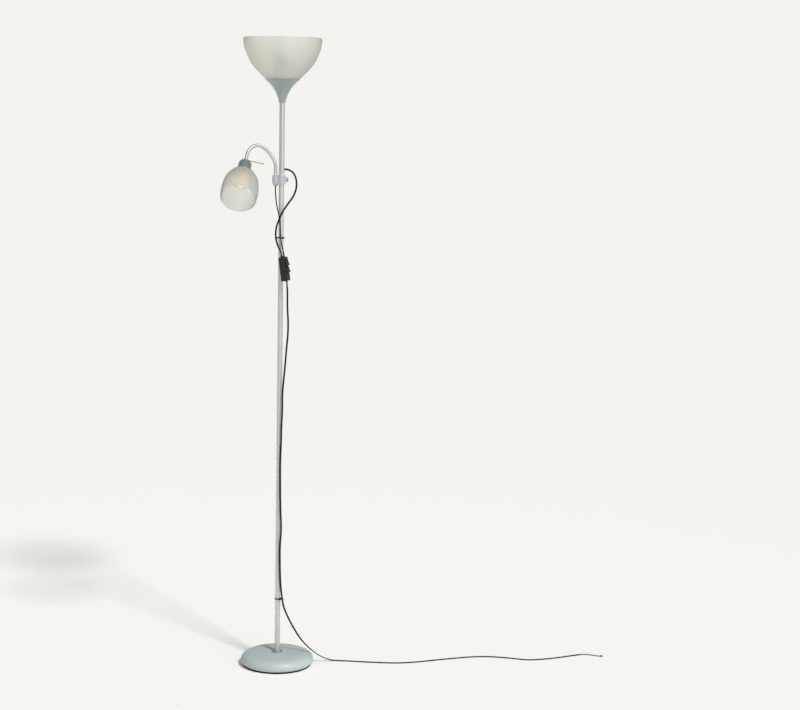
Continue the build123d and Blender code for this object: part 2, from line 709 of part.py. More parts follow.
# glass stem, two support wires and the filament arched between them
STEM_END = 68.0
FILAMENT_END = 84.0
with BuildPart() as small_bulb_filament:
    with BuildSketch(Plane(origin=HEAD_TOP + HEAD_AXIS * 50, z_dir=HEAD_AXIS)):
        Circle(3.2)
    extrude(amount=STEM_END - 50)
    with BuildLine():
        FilletPolyline(
            HEAD_TOP + HEAD_AXIS * (STEM_END - 2) + HEAD_SIDE * 1.6,
            HEAD_TOP + HEAD_AXIS * (STEM_END + 4) + HEAD_SIDE * 7.0,
            HEAD_TOP + HEAD_AXIS * FILAMENT_END + HEAD_SIDE * 6.0,
            HEAD_TOP + HEAD_AXIS * FILAMENT_END - HEAD_SIDE * 6.0,
            HEAD_TOP + HEAD_AXIS * (STEM_END + 4) - HEAD_SIDE * 7.0,
            HEAD_TOP + HEAD_AXIS * (STEM_END - 2) - HEAD_SIDE * 1.6,
            radius=2.0,
        )
    with BuildSketch(
        Plane(
            origin=HEAD_TOP + HEAD_AXIS * (STEM_END - 2) + HEAD_SIDE * 1.6,
            z_dir=HEAD_AXIS * 6 + HEAD_SIDE * 5.4,
        )
    ):
        Circle(0.55)
    sweep()
finish(small_bulb_filament.part, "small_bulb_filament")

# ---------------------------------------------------------------- inline double switch
# x is the way the rockers face, y across, z along the housing
switch_plane = Plane(origin=SWITCH_CENTRE, x_dir=SWITCH_FACE, z_dir=SWITCH_UP)
switch_ends = (
    (ENTRY_OFFSET, SWITCH_LENGTH / 2),
    (-ENTRY_OFFSET, SWITCH_LENGTH / 2),
    (EXIT_OFFSET, -SWITCH_LENGTH / 2 - SWITCH_COLLAR),
)
SCREW_SPOTS = ((-7.5, -16.0), (7.5, -16.0))


def switch_place(x, y, z):
    """A point of the switch's own frame in the lamp's frame."""
    return switch_plane.from_local_coords(Vector(x, y, z))


def switch_body():
    """Both halves of the housing in one: rounded box, hollow, with a collar at each cord."""
    with BuildPart(switch_plane) as housing:
        Box(SWITCH_THICKNESS, SWITCH_WIDTH, SWITCH_LENGTH)
        fillet(housing.edges().filter_by(Axis(SWITCH_CENTRE, switch_plane.z_dir)), 4.0)
        fillet(housing.edges().group_by(Axis(SWITCH_CENTRE, switch_plane.z_dir))[-1], 2.0)
        fillet(housing.edges().group_by(Axis(SWITCH_CENTRE, switch_plane.z_dir))[0], 2.0)
        Box(
            SWITCH_THICKNESS - 2 * SWITCH_WALL,
            SWITCH_WIDTH - 2 * SWITCH_WALL,
            SWITCH_LENGTH - 2 * SWITCH_WALL,
            mode=Mode.SUBTRACT,
        )
        for x, z in switch_ends:
            with Locations((x, 0, z)):
                Cylinder(3.6, SWITCH_COLLAR, align=(Align.CENTER, Align.CENTER, Align.MIN))
        for x, z in switch_ends:
            with Locations((x, 0, z)):
                Cylinder(CORD_HOLE, 6 * SWITCH_COLLAR, mode=Mode.SUBTRACT)
    return housing.part


for side, label in ((1, "switch_front_shell"), (-1, "switch_back_shell")):
    with BuildPart() as shell:
        add(switch_body())
        seam = Plane(origin=SWITCH_CENTRE, z_dir=switch_plane.x_dir * side)
        split(bisect_by=seam, keep=Keep.TOP)
        pillar = Plane(origin=SWITCH_CENTRE, x_dir=switch_plane.z_dir, z_dir=switch_plane.x_dir * side)
        with BuildSketch(pillar):
            for y, z in SCREW_SPOTS:
                with Locations((z, -side * y)):
                    Circle(3.0)
        extrude(amount=SWITCH_THICKNESS / 2 - SWITCH_WALL / 2)
        if side > 0:
            with BuildSketch(pillar):
                for z in ROCKER_PLACES:
                    with Locations((z, 0)):
                        Rectangle(2 * ROCKER_WINDOW_HALF, ROCKER_WIDTH + 0.8)
            extrude(amount=SWITCH_THICKNESS, mode=Mode.SUBTRACT)
            with BuildSketch(pillar.offset(ROCKER_PIVOT - ROCKER_BOSS)):
                for z in ROCKER_PLACES:
                    with Locations((z, -ROCKER_WIDTH / 2 - ROCKER_BOSS), (z, ROCKER_WIDTH / 2 + ROCKER_BOSS)):
                        Rectangle(5.0, 2.6)
            extrude(amount=SWITCH_THICKNESS / 2 - SWITCH_WALL - ROCKER_PIVOT + ROCKER_BOSS)
        for y, z in SCREW_SPOTS:
            spot = switch_place(-SWITCH_THICKNESS / 2, y, z)
            with BuildSketch(Plane(origin=spot, z_dir=switch_plane.x_dir)):
                Circle(1.5)
            extrude(amount=SWITCH_THICKNESS - 3, mode=Mode.SUBTRACT)
            with BuildSketch(Plane(origin=spot, z_dir=switch_plane.x_dir)):
                Circle(2.8)
            extrude(amount=1.6, mode=Mode.SUBTRACT)
        for z in ROCKER_PLACES:
            spot = switch_place(ROCKER_PIVOT, 0, z)
            with BuildSketch(Plane(origin=spot, z_dir=switch_plane.y_dir)):
                Circle(1.0)
            extrude(amount=PIN_REACH, both=True, mode=Mode.SUBTRACT)
    finish(shell.part, label)

for z, label in zip(ROCKER_PLACES, ("upper_rocker", "lower_rocker")):
    rocker_side = switch_place(ROCKER_PIVOT, -ROCKER_WIDTH / 2, z)
    rocker_plane = Plane(origin=rocker_side, x_dir=switch_plane.z_dir, z_dir=switch_plane.y_dir)
    with BuildPart() as rocker:
        with BuildSketch(rocker_plane):
            with BuildLine():
                Polyline(
                    (-ROCKER_HALF, -1.6),
                    (0, -2.6),
                    (ROCKER_HALF, -1.6),
                    (ROCKER_HALF, 5.4),
                    (0.5, 6.4),
                    (-ROCKER_HALF, 9.2),
                    close=True,
                )
            make_face()
            Circle(1.06, mode=Mode.SUBTRACT)
        extrude(amount=ROCKER_WIDTH)
        crests = rocker.edges().filter_by(Axis(SWITCH_CENTRE, switch_plane.y_dir))
        crest = crests.sort_by(Axis(SWITCH_CENTRE, switch_plane.x_dir))[-1]
        fillet(crest, 1.2)
    finish(rocker.part, label)

with BuildPart() as rocker_pins:
    for z in ROCKER_PLACES:
        with BuildSketch(Plane(origin=switch_place(ROCKER_PIVOT, 0, z), z_dir=switch_plane.y_dir)):
            Circle(1.0)
        extrude(amount=PIN_REACH, both=True)
finish(rocker_pins.part, "rocker_pins")

with BuildPart() as switch_screws:
    for y, z in SCREW_SPOTS:
        spot = switch_place(-SWITCH_THICKNESS / 2, y, z)
        with BuildSketch(Plane(origin=spot + switch_plane.x_dir * 0.3, z_dir=switch_plane.x_dir)):
            Circle(2.6)
        extrude(amount=1.3)
        with BuildSketch(Plane(origin=spot + switch_plane.x_dir * 0.3, z_dir=switch_plane.x_dir)):
            Circle(1.4)
        extrude(amount=SWITCH_THICKNESS - 4)
finish(switch_screws.part, "switch_screws")

with BuildPart(switch_plane) as switch_contacts:
    for z in ROCKER_PLACES:
        with Locations((-3.6, -5.0, z + 6.5), (-3.6, 5.0, z + 6.5)):
            Box(6.6, 4.0, 5.0)
finish(switch_contacts.part, "switch_contacts")

# ---------------------------------------------------------------- cords
exit_point = exit_direction * GROMMET_FACE + Vector(0, 0, EXIT_HEIGHT)
loop_end = switch_place(-ENTRY_OFFSET, 0, SWITCH_LENGTH / 2)
reading_end = switch_place(ENTRY_OFFSET, 0, SWITCH_LENGTH / 2)
lead_start = switch_place(EXIT_OFFSET, 0, -SWITCH_LENGTH / 2)
LEAD_TIE_POINT = (13.5, -4.5, LOWER_TIE_HEIGHT)
READING_SPLIT = (-10.7, -7.3, 1328.5)
FLOOR_LINE = 2.2
CORD_END = (898, 134.6, FLOOR_LINE)

cord_tube(
    [(0, 0, 1661.0), (0, 0, EXIT_HEIGHT), tuple(exit_point)],
    "inner_lead",
    radii=[4.5],
)

loop_route = [
    tuple(exit_point),
    tuple(exit_point + exit_direction * 9),
    (22.8, 15.1, 1433.0),
    (32.0, 15.0, 1426.5),
    (39.0, 10.5, 1415.0),
    (42.6, 4.0, 1399.0),
    (41.5, -3.5, 1379.0),
    (33.5, -9.0, 1359.0),
    (18.5, -13.8, 1339.0),
    (5.0, -17.5, 1318.0),
    (-5.0, -17.0, 1296.0),
    (-13.0, -12.0, 1274.0),
    (-14.9, -7.6, 1254.0),
    (-12.5, -10.2, 1234.0),
    (-5.4, -17.0, 1217.0),
    tuple(loop_end + SWITCH_UP * 14.0),
    tuple(loop_end),
]
cord_tube(loop_route, "loop_cord")

reading_upper_route = [
    (NECK_X, 0, NECK_BOTTOM),
    (-17.0, -0.6, 1374.0),
    (-15.4, -1.2, 1356.0),
    (-13.5, -4.6, 1339.0),
    READING_SPLIT,
]
cord_tube(reading_upper_route, "reading_cord_upper")

reading_lower_route = [
    READING_SPLIT,
    (-7.9, -10.0, 1318.0),
    (-3.6, -12.2, 1295.0),
    (-1.6, -12.3, 1274.0),
    (-1.0, -12.2, 1255.0),
    (1.2, -13.4, 1234.0),
    (6.0, -20.6, 1215.0),
    tuple(reading_end + SWITCH_UP * 13.5),
    tuple(reading_end),
]
cord_tube(reading_lower_route, "reading_cord_lower")

lead_hanging_route = [
    tuple(lead_start),
    tuple(lead_start - SWITCH_UP * 20.0),
    (21.3, -23.2, 1074.0),
    (21.5, -20.0, 1042.0),
    (23.9, -17.5, 1007.0),
    (23.2, -16.0, 968.0),
    (19.2, -15.0, 928.0),
    (16.4, -14.0, 886.0),
    (12.4, -13.5, 842.0),
    (8.6, -13.0, 798.0),
    (9.6, -13.2, 751.0),
    (7.0, -13.0, 704.0),
    (6.9, -13.3, 656.0),
    (4.2, -13.0, 606.0),
    (4.7, -13.4, 554.0),
    (5.7, -13.0, 502.0),
    (7.2, -13.4, 451.0),
    (9.7, -13.0, 402.0),
    (5.6, -13.2, 354.0),
    (6.3, -12.6, 306.0),
    (7.3, -11.0, 262.0),
    (9.3, -5.9, 225.0),
    LEAD_TIE_POINT,
]
cord_tube(lead_hanging_route, "lead_hanging")

lead_floor_route = [
    LEAD_TIE_POINT,
    (16.56, -3.48, 174.0),
    (28.0, -4.6, 146.0),
    (47.0, -6.5, 110.0),
    (70.0, -2.9, 73.0),
    (96.0, 3.2, 44.0),
    (125.0, 18.4, 18.0),
    (156.0, 34.1, FLOOR_LINE),
    (194.0, 32.6, FLOOR_LINE),
    (242.0, 27.1, FLOOR_LINE),
    (290.0, 22.6, FLOOR_LINE),
    (338.0, 19.6, FLOOR_LINE),
    (386.0, 26.6, FLOOR_LINE),
    (434.0, 43.6, FLOOR_LINE),
    (484.0, 63.6, FLOOR_LINE),
    (533.0, 81.1, FLOOR_LINE),
    (583.0, 96.1, FLOOR_LINE),
    (634.0, 98.1, FLOOR_LINE),
    (684.0, 88.6, FLOOR_LINE),
    (735.0, 70.6, FLOOR_LINE),
    (785.0, 82.6, FLOOR_LINE),
    (832.0, 101.6, FLOOR_LINE),
    (868.0, 120.1, FLOOR_LINE),
    CORD_END,
]
cord_tube(lead_floor_route, "lead_floor")

# stripped inner core at the cord's free end, and the small cap on it
tail_route = [
    CORD_END,
    (907.0, 138.95, FLOOR_LINE),
    (924.0, 136.6, 1.9),
    (941.0, 128.1, 1.9),
    (957.0, 122.6, 1.9),
]
cord_tube(tail_route, "cord_tail", radius=TAIL_RADIUS)
tail_end = Vector(*tail_route[-1])
tail_direction = (tail_end - Vector(*tail_route[-2])).normalized()
with BuildPart() as cord_end_cap:
    with BuildSketch(Plane(origin=tail_end + Vector(0, 0, END_CAP_RADIUS - 1.8), z_dir=tail_direction)):
        Circle(END_CAP_RADIUS)
    extrude(amount=7)
    chamfer(cord_end_cap.edges().filter_by(GeomType.CIRCLE), 0.5)
finish(cord_end_cap.part, "cord_end_cap")


# ---------------------------------------------------------------- cable ties
def cable_tie(height, pole_ring, held, lock):
    """A strap pulled round the pole and the cords that it holds, with its square lock."""
    with BuildPart() as tie:
        with BuildSketch(Plane.XY.offset(height - TIE_WIDTH / 2)):
            Circle(pole_ring + TIE_THICKNESS)
            for x, y in held:
                with Locations((x, y)):
                    Circle(CORD_RADIUS + 0.4 + TIE_THICKNESS)
            make_hull()
        extrude(amount=TIE_WIDTH)
        with Locations(Plane(origin=(lock[0], lock[1], height), x_dir=(lock[2], lock[3], 0))):
            Box(4.6, 4.6, 4.6)
        with BuildSketch(Plane.XY.offset(height - TIE_WIDTH)):
            Circle(pole_ring)
            for x, y in held:
                with Locations((x, y)):
                    Circle(CORD_RADIUS + 0.4)
            make_hull()
        extrude(amount=2 * TIE_WIDTH, mode=Mode.SUBTRACT)
    return tie.part


upper_tie = cable_tie(
    UPPER_TIE_HEIGHT, POLE_RADIUS + 0.3, ((-13.7, -8.9), (0.1, -12.8)), (7.6, -9.6, 0.9, -0.44)
)
finish(upper_tie, "cable_tie_upper")
lower_tie = cable_tie(LOWER_TIE_HEIGHT, POLE_RADIUS + 0.3, ((13.5, -4.5),), (6.6, -9.6, 0.2, -0.98))
finish(lower_tie, "cable_tie_lower")

# ---------------------------------------------------------------- where the joints are
print("neck length", round(NECK_LENGTH, 1))
for number, (place, bend_axis, turn_axis) in enumerate(neck_joints, 1):
    print("neck joint", number, place, bend_axis, turn_axis)
for z in ROCKER_PLACES:
    print("rocker pivot", switch_place(ROCKER_PIVOT, 0, z), switch_plane.y_dir)
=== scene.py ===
import json
import math

import bpy
import numpy as np
from mathutils import Matrix, Vector


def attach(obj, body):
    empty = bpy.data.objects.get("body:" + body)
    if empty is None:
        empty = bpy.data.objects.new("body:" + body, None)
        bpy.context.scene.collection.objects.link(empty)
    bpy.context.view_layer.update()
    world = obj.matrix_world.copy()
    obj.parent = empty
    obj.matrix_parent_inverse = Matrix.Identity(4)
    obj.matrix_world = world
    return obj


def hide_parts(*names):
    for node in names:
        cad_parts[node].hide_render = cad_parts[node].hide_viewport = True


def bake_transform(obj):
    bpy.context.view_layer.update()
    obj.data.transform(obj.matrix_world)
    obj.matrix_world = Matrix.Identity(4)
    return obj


# Torchiere floor lamp with a reading light: the visible pieces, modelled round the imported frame.
# Metres, +Z up, the pole on the Z axis, the mains cord running away along +X.

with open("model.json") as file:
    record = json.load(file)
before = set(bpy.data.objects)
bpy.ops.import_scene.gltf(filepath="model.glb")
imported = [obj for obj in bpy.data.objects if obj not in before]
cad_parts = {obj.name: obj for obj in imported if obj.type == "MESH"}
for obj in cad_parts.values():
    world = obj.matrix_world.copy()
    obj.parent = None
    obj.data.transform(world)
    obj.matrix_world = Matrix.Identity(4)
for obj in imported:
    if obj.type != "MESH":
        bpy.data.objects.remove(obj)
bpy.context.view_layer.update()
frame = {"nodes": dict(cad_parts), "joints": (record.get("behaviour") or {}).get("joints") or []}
nodes = frame["nodes"]

MM = 0.001
MERGE = 2e-6

# ------------------------------------------------------------------ driving sizes, in millimetres
EXIT_HEIGHT = 1436.0
EXIT_AZIMUTH = math.radians(40.0)
GROMMET_FACE = 9.0
CUP_BOTTOM = 1620.6
CUP_RIM = 1685.3
DECK_TOP = 1683.3
BOWL_TOP = 1799.0
BULB_TOP = 1789.0
NECK_X = -17.0
NECK_BOTTOM = 1390.0
NECK_STRAIGHT_TOP = 1442.0
NECK_RADIUS = 5.0
NECK_RIB_PITCH = 3.1
NECK_BORE = 3.0
HEAD_TOP = Vector((-91.2, -113.0, 1458.0))
HEAD_AXIS = Vector((-0.058, -0.771, -0.635)).normalized()
HEAD_GUIDE = Vector((0.978, 0.108, -0.170))
SWITCH_CENTRE = Vector((12.0, -24.5, 1157.5))
SWITCH_UP = Vector((-0.136, 0.0, 0.991)).normalized()
SWITCH_FACE = Vector((0.927, -0.375, 0.0)).normalized()
SWITCH_LENGTH = 67.0
ENTRY_OFFSET = 3.8
EXIT_OFFSET = 2.0
FLOOR_LINE = 1.45
FLEX_WIDTH = 5.2
FLEX_THICKNESS = 2.7
CORE_TURN_END = 122.0
GROOVE_SHARE = 0.62
INNER_FLEX_DIAMETER = 3.6
TAIL_DIAMETER = 2.4
NECK_RIB_DEPTH = 0.55
NECK_RIB_SHARES = (0.0, 0.12, 0.3, 0.5, 0.7, 0.88)
NECK_SIGHT = 0.8
HOLDER_HOLE = 17.15
CUP_BORE = 7.65
SHADE_WALL = 1.6
DECK_THICKNESS = 2.8
STUD_HOLE = 5.15
BASE_TOP = 37.0
BASE_LINING = 35.8
BASE_EDGE = 16.0
CAP_LENGTH = 42.0
SMALL_HOLDER_HOLE = 12.95
CORD_SMOOTH_ANGLE = 50
NECK_SMOOTH_ANGLE = 60

# scales and depths shared by the finishes
CLOUD_SCALE = 14
GLOSS_SCALE = 60
SKIN_STRENGTH = 0.35
DRAWN_LINES_SCALE = 800

# ------------------------------------------------------------------ camera
CAMERA_PLACE = Vector((0.342, -4.884, 1.592))
CAMERA_PITCH = math.radians(7.88)
CAMERA_ROLL = math.radians(1.08)
CAMERA_LENS = 77.9
SENSOR = 36.0

look = Vector((0, math.cos(CAMERA_PITCH), -math.sin(CAMERA_PITCH)))
level_up = Vector((0, math.sin(CAMERA_PITCH), math.cos(CAMERA_PITCH)))
level_right = Vector((1, 0, 0))
right = level_right * math.cos(CAMERA_ROLL) + level_up * math.sin(CAMERA_ROLL)
up = level_up * math.cos(CAMERA_ROLL) - level_right * math.sin(CAMERA_ROLL)
camera_data = bpy.data.cameras.new("camera")
camera_data.lens = CAMERA_LENS
camera_data.sensor_width = SENSOR
camera_data.clip_start = 0.05
camera_data.clip_end = 200
camera = bpy.data.objects.new("camera", camera_data)
bpy.context.scene.collection.objects.link(camera)
turn = Matrix((right, up, -look)).transposed()
camera.matrix_world = Matrix.Translation(CAMERA_PLACE) @ turn.to_4x4()
bpy.context.scene.camera = camera
bpy.context.scene.view_settings.view_transform = "Standard"


# ------------------------------------------------------------------ lines and places
def unit(v):
    v = np.array(v, float)
    return v / np.linalg.norm(v)


def flowing(points, leave, arrive, steps):
    """A smooth line through points that leaves and arrives in the given directions."""
    points = np.array(points, float)
    spans = np.linalg.norm(np.diff(points, axis=0), axis=1)
    count = len(points)
    system = np.eye(count)
    wanted = np.zeros_like(points)
    wanted[0] = unit(leave)
    wanted[-1] = unit(arrive)
    for i in range(1, count - 1):
        before, after = spans[i - 1], spans[i]
        system[i, i - 1 : i + 2] = (after, 2 * (before + after), before)
        ahead = before * (points[i + 1] - points[i]) / after
        behind = after * (points[i] - points[i - 1]) / before
        wanted[i] = 3 * (ahead + behind)
    slopes = np.linalg.solve(system, wanted)
    line = []
    for i, span in enumerate(spans):
        for s in np.arange(steps) / steps:
            line.append(
                (2 * s**3 - 3 * s**2 + 1) * points[i]
                + (s**3 - 2 * s**2 + s) * span * slopes[i]
                + (3 * s**2 - 2 * s**3) * points[i + 1]
                + (s**3 - s**2) * span * slopes[i + 1]
            )
    line.append(points[-1])
    return [tuple(p) for p in line]


def arc(centre, radius, start, end, steps):
    """Points along a round arc, its angles in degrees."""
    return [
        (
            centre[0] + radius * math.cos(math.radians(start + (end - start) * i / steps)),
            centre[1] + radius * math.sin(math.radians(start + (end - start) * i / steps)),
        )
        for i in range(steps + 1)
    ]


head_side = HEAD_AXIS.cross(HEAD_GUIDE.cross(HEAD_AXIS)).normalized()
head_over = HEAD_AXIS.cross(head_side).normalized()
HEAD_PLACE = (
    Matrix.Translation(HEAD_TOP * MM)
    @ Matrix((head_side, head_over, HEAD_AXIS)).transposed().to_4x4()
)
switch_across = SWITCH_UP.cross(SWITCH_FACE).normalized()


def at_switch(x, y, z):
    """A point of the switch's own frame, in millimetres of the lamp's frame."""
    return tuple(SWITCH_CENTRE + SWITCH_FACE * x + switch_across * y + SWITCH_UP * z)


# ------------------------------------------------------------------ cords
exit_way = Vector((math.cos(EXIT_AZIMUTH), math.sin(EXIT_AZIMUTH), 0))
exit_point = exit_way * GROMMET_FACE + Vector((0, 0, EXIT_HEIGHT))
loop_end = Vector(at_switch(-ENTRY_OFFSET, 0, SWITCH_LENGTH / 2))
reading_end = Vector(at_switch(ENTRY_OFFSET, 0, SWITCH_LENGTH / 2))
lead_start = Vector(at_switch(EXIT_OFFSET, 0, -SWITCH_LENGTH / 2))
READING_SPLIT = (-10.7, -7.3, 1328.5)
LEAD_TIE_POINT = (13.5, -4.5, 195.5)
CORD_END = (898.0, 134.6, FLOOR_LINE)

loop_route = [
    tuple(exit_point),
    tuple(exit_point + exit_way * 9),
    (22.8, 15.1, 1433.0),
    (32.0, 15.0, 1426.5),
    (39.0, 10.5, 1415.0),
    (42.6, 4.0, 1399.0),
    (41.5, -3.5, 1379.0),
    (33.5, -9.0, 1359.0),
    (18.5, -13.8, 1339.0),
    (5.0, -17.5, 1318.0),
    (-5.0, -17.0, 1296.0),
    (-13.0, -12.0, 1274.0),
    (-14.9, -7.6, 1254.0),
    (-12.5, -10.2, 1234.0),
    (-5.4, -17.0, 1217.0),
    tuple(loop_end + SWITCH_UP * 14.0),
    tuple(loop_end),
]
reading_upper_route = [
    (NECK_X, 0, NECK_BOTTOM),
    (-17.0, -0.6, 1374.0),
    (-15.4, -1.2, 1356.0),
    (-13.5, -4.6, 1339.0),
    READING_SPLIT,
]
reading_lower_route = [
    READING_SPLIT,
    (-7.9, -10.0, 1318.0),
    (-3.6, -12.2, 1295.0),
    (-1.6, -12.3, 1274.0),
    (-1.0, -12.2, 1255.0),
    (1.2, -13.4, 1234.0),
    (6.0, -20.6, 1215.0),
    tuple(reading_end + SWITCH_UP * 13.5),
    tuple(reading_end),
]
lead_route = [
    tuple(lead_start),
    tuple(lead_start - SWITCH_UP * 20.0),
    (21.3, -23.2, 1074.0),
    (21.5, -20.0, 1042.0),
    (23.9, -17.5, 1007.0),
    (23.2, -16.0, 968.0),
    (19.2, -15.0, 928.0),
    (16.4, -14.0, 886.0),
    (12.4, -13.5, 842.0),
    (8.6, -13.0, 798.0),
    (9.6, -13.2, 751.0),
    (7.0, -13.0, 704.0),
    (6.9, -13.3, 656.0),
    (4.2, -13.0, 606.0),
    (4.7, -13.4, 554.0),
    (5.7, -13.0, 502.0),
    (7.2, -13.4, 451.0),
    (9.7, -13.0, 402.0),
    (5.6, -13.2, 354.0),
    (6.3, -12.6, 306.0),
    (7.3, -11.0, 262.0),
    (9.3, -5.9, 225.0),
    LEAD_TIE_POINT,
    (16.56, -3.48, 174.0),
    (28.0, -4.6, 146.0),
    (47.0, -6.5, 110.0),
    (70.0, -2.9, 73.0),
    (96.0, 3.2, 44.0),
    (125.0, 18.4, 18.0),
    (156.0, 34.1, FLOOR_LINE),
    (194.0, 32.6, FLOOR_LINE),
    (242.0, 27.1, FLOOR_LINE),
    (290.0, 22.6, FLOOR_LINE),
    (338.0, 19.6, FLOOR_LINE),
    (386.0, 26.6, FLOOR_LINE),
    (434.0, 43.6, FLOOR_LINE),
    (484.0, 63.6, FLOOR_LINE),
    (533.0, 81.1, FLOOR_LINE),
    (583.0, 96.1, FLOOR_LINE),
    (634.0, 98.1, FLOOR_LINE),
    (684.0, 88.6, FLOOR_LINE),
    (735.0, 70.6, FLOOR_LINE),
    (785.0, 82.6, FLOOR_LINE),
    (832.0, 101.6, FLOOR_LINE),
    (868.0, 120.1, FLOOR_LINE),
    CORD_END,
]
tail_route = [
    CORD_END,
    (907.0, 138.95, FLOOR_LINE),
    (924.0, 136.6, 1.3),
    (941.0, 128.1, 1.3),
    (957.0, 122.6, 1.3),
]


def smooth_path(name, route, resolution=8):
    """Points in metres along one NURBS line whose control points are the route."""
    curve = bpy.data.curves.new(name + "_line", "CURVE")
    curve.dimensions = "3D"
    spline = curve.splines.new("NURBS")
    spline.points.add(len(route) - 1)
    for point, place in zip(spline.points, route):
        point.co = (*(Vector(place) * MM), 1)
    spline.order_u = 3
    spline.use_endpoint_u = True
    spline.resolution_u = resolution
    line = bpy.data.objects.new(name + "_line", curve)
    bpy.context.scene.collection.objects.link(line)
    bpy.context.view_layer.update()
    mesh = bpy.data.meshes.new_from_object(line)
    path = [v.co.copy() for v in mesh.vertices]
    bpy.data.objects.remove(line)
    bpy.data.meshes.remove(mesh)
    bpy.data.curves.remove(curve)
    return path


def twin_section(width, thickness):
    """Outline of a flat twin flex: two round cores side by side with a groove between them."""
    core = thickness / 2
    offset = width / 2 - core
    right_side = arc((offset, 0), core, -CORE_TURN_END, CORE_TURN_END, 8)
    left_side = [(-x, -y) for x, y in right_side]
    groove = core * GROOVE_SHARE
    return right_side + [(0, groove)] + left_side + [(0, -groove)]


def round_section(diameter, sides=12):
    return arc((0, 0), diameter / 2, 0, 360 - 360 / sides, sides - 1)


def swept(name, path, section, facings):
    """A tube of the given section along path.

    Each of the facings is a share of the length and the way that the flat side faces there.
    """
    count = len(section)
    gone = [0.0]
    for a, b in zip(path, path[1:]):
        gone.append(gone[-1] + (b - a).length)
    verts = []
    for i, place in enumerate(path):
        ahead = path[min(i + 1, len(path) - 1)]
        behind = path[max(i - 1, 0)]
        along = (ahead - behind).normalized()
        share = gone[i] / gone[-1]
        later = next(k for k, f in enumerate(facings) if f[0] >= share or k == len(facings) - 1)
        later = max(later, 1)
        share_a, way_a = facings[later - 1]
        share_b, way_b = facings[later]
        mix = min(max((share - share_a) / (share_b - share_a), 0), 1)
        mix = mix * mix * (3 - 2 * mix)
        face = Vector(way_a).normalized().lerp(Vector(way_b).normalized(), mix)
        across = along.cross(face).normalized()
        face = across.cross(along).normalized()
        for x, y in section:
            verts.append(place + (across * x + face * y) * MM)
    faces = []
    for i in range(len(path) - 1):
        for k in range(count):
            a = i * count + k
            b = i * count + (k + 1) % count
            faces.append((a, b, b + count, a + count))
    faces.append(tuple(reversed(range(count))))
    last = (len(path) - 1) * count
    faces.append(tuple(range(last, last + count)))
    mesh = bpy.data.meshes.new(name)
    mesh.from_pydata([tuple(v) for v in verts], [], faces)
    mesh.update()
    tube = bpy.data.objects.new(name, mesh)
    bpy.context.scene.collection.objects.link(tube)
    clear_selection()
    tube.select_set(True)
    bpy.context.view_layer.objects.active = tube
    bpy.ops.object.mode_set(mode="EDIT")
    bpy.ops.mesh.select_all(action="SELECT")
    bpy.ops.mesh.normals_make_consistent(inside=False)
    bpy.ops.object.mode_set(mode="OBJECT")
    bpy.ops.object.shade_smooth_by_angle(angle=math.radians(CORD_SMOOTH_ANGLE))
    return tube


# ------------------------------------------------------------------ modelling by hand
def clear_selection():
    if bpy.context.mode != "OBJECT":
        bpy.ops.object.mode_set(mode="OBJECT")
    bpy.ops.object.select_all(action="DESELECT")


def start_outline(name, points):
    """Draw an outline in the XZ plane, point by point, and stay in edit mode."""
    clear_selection()
    x, z = points[0]
    bpy.ops.mesh.primitive_plane_add(size=MM, location=(0, 0, 0))
    piece = bpy.context.object
    piece.name = name
    piece.data.name = name
    bpy.ops.object.mode_set(mode="EDIT")
    bpy.ops.mesh.select_all(action="SELECT")
    bpy.ops.mesh.merge(type="CENTER")
    bpy.ops.transform.translate(value=(x * MM, 0, z * MM))
    for (x0, z0), (x1, z1) in zip(points, points[1:]):
        bpy.ops.mesh.extrude_region_move(
            TRANSFORM_OT_translate={"value": ((x1 - x0) * MM, 0, (z1 - z0) * MM)}
        )
    bpy.ops.mesh.select_all(action="SELECT")
    bpy.ops.mesh.remove_doubles(threshold=MERGE)
    return piece


def finish_mesh(piece, smooth_angle=32.0):
    """Merge what meets, point the faces outwards and shade the round parts smooth."""
    if bpy.context.mode != "OBJECT":
        bpy.ops.object.mode_set(mode="OBJECT")
    bpy.ops.object.select_all(action="DESELECT")
    piece.select_set(True)
    bpy.context.view_layer.objects.active = piece
    bpy.ops.object.mode_set(mode="EDIT")
    bpy.ops.mesh.select_all(action="SELECT")
    bpy.ops.mesh.remove_doubles(threshold=MERGE)
    bpy.ops.mesh.normals_make_consistent(inside=False)
    bpy.ops.object.mode_set(mode="OBJECT")
    bpy.ops.object.shade_smooth_by_angle(angle=math.radians(smooth_angle))


def put(piece, place):
    """Move a finished piece to its place and leave its object at the origin."""
    clear_selection()
    piece.select_set(True)
    bpy.context.view_layer.objects.active = piece
    piece.matrix_world = place
    bpy.ops.object.transform_apply(location=True, rotation=True, scale=True)


def turned(name, points, sides=96, place=None, smooth_angle=32.0):
    """Turn an outline of (radius, height) points once round the Z axis."""
    piece = start_outline(name, points)
    bpy.ops.mesh.select_all(action="SELECT")
    bpy.ops.mesh.spin(steps=sides, angle=2 * math.pi, center=(0, 0, 0), axis=(0, 0, 1))
    finish_mesh(piece, smooth_angle)
    if place is not None:
        put(piece, place)
    return piece


# ------------------------------------------------------------------ materials
def new_material(name):
    material = bpy.data.materials.new(name)
    material.use_nodes = True
    tree = material.node_tree
    shader = tree.nodes["Principled BSDF"]
    return material, tree, shader


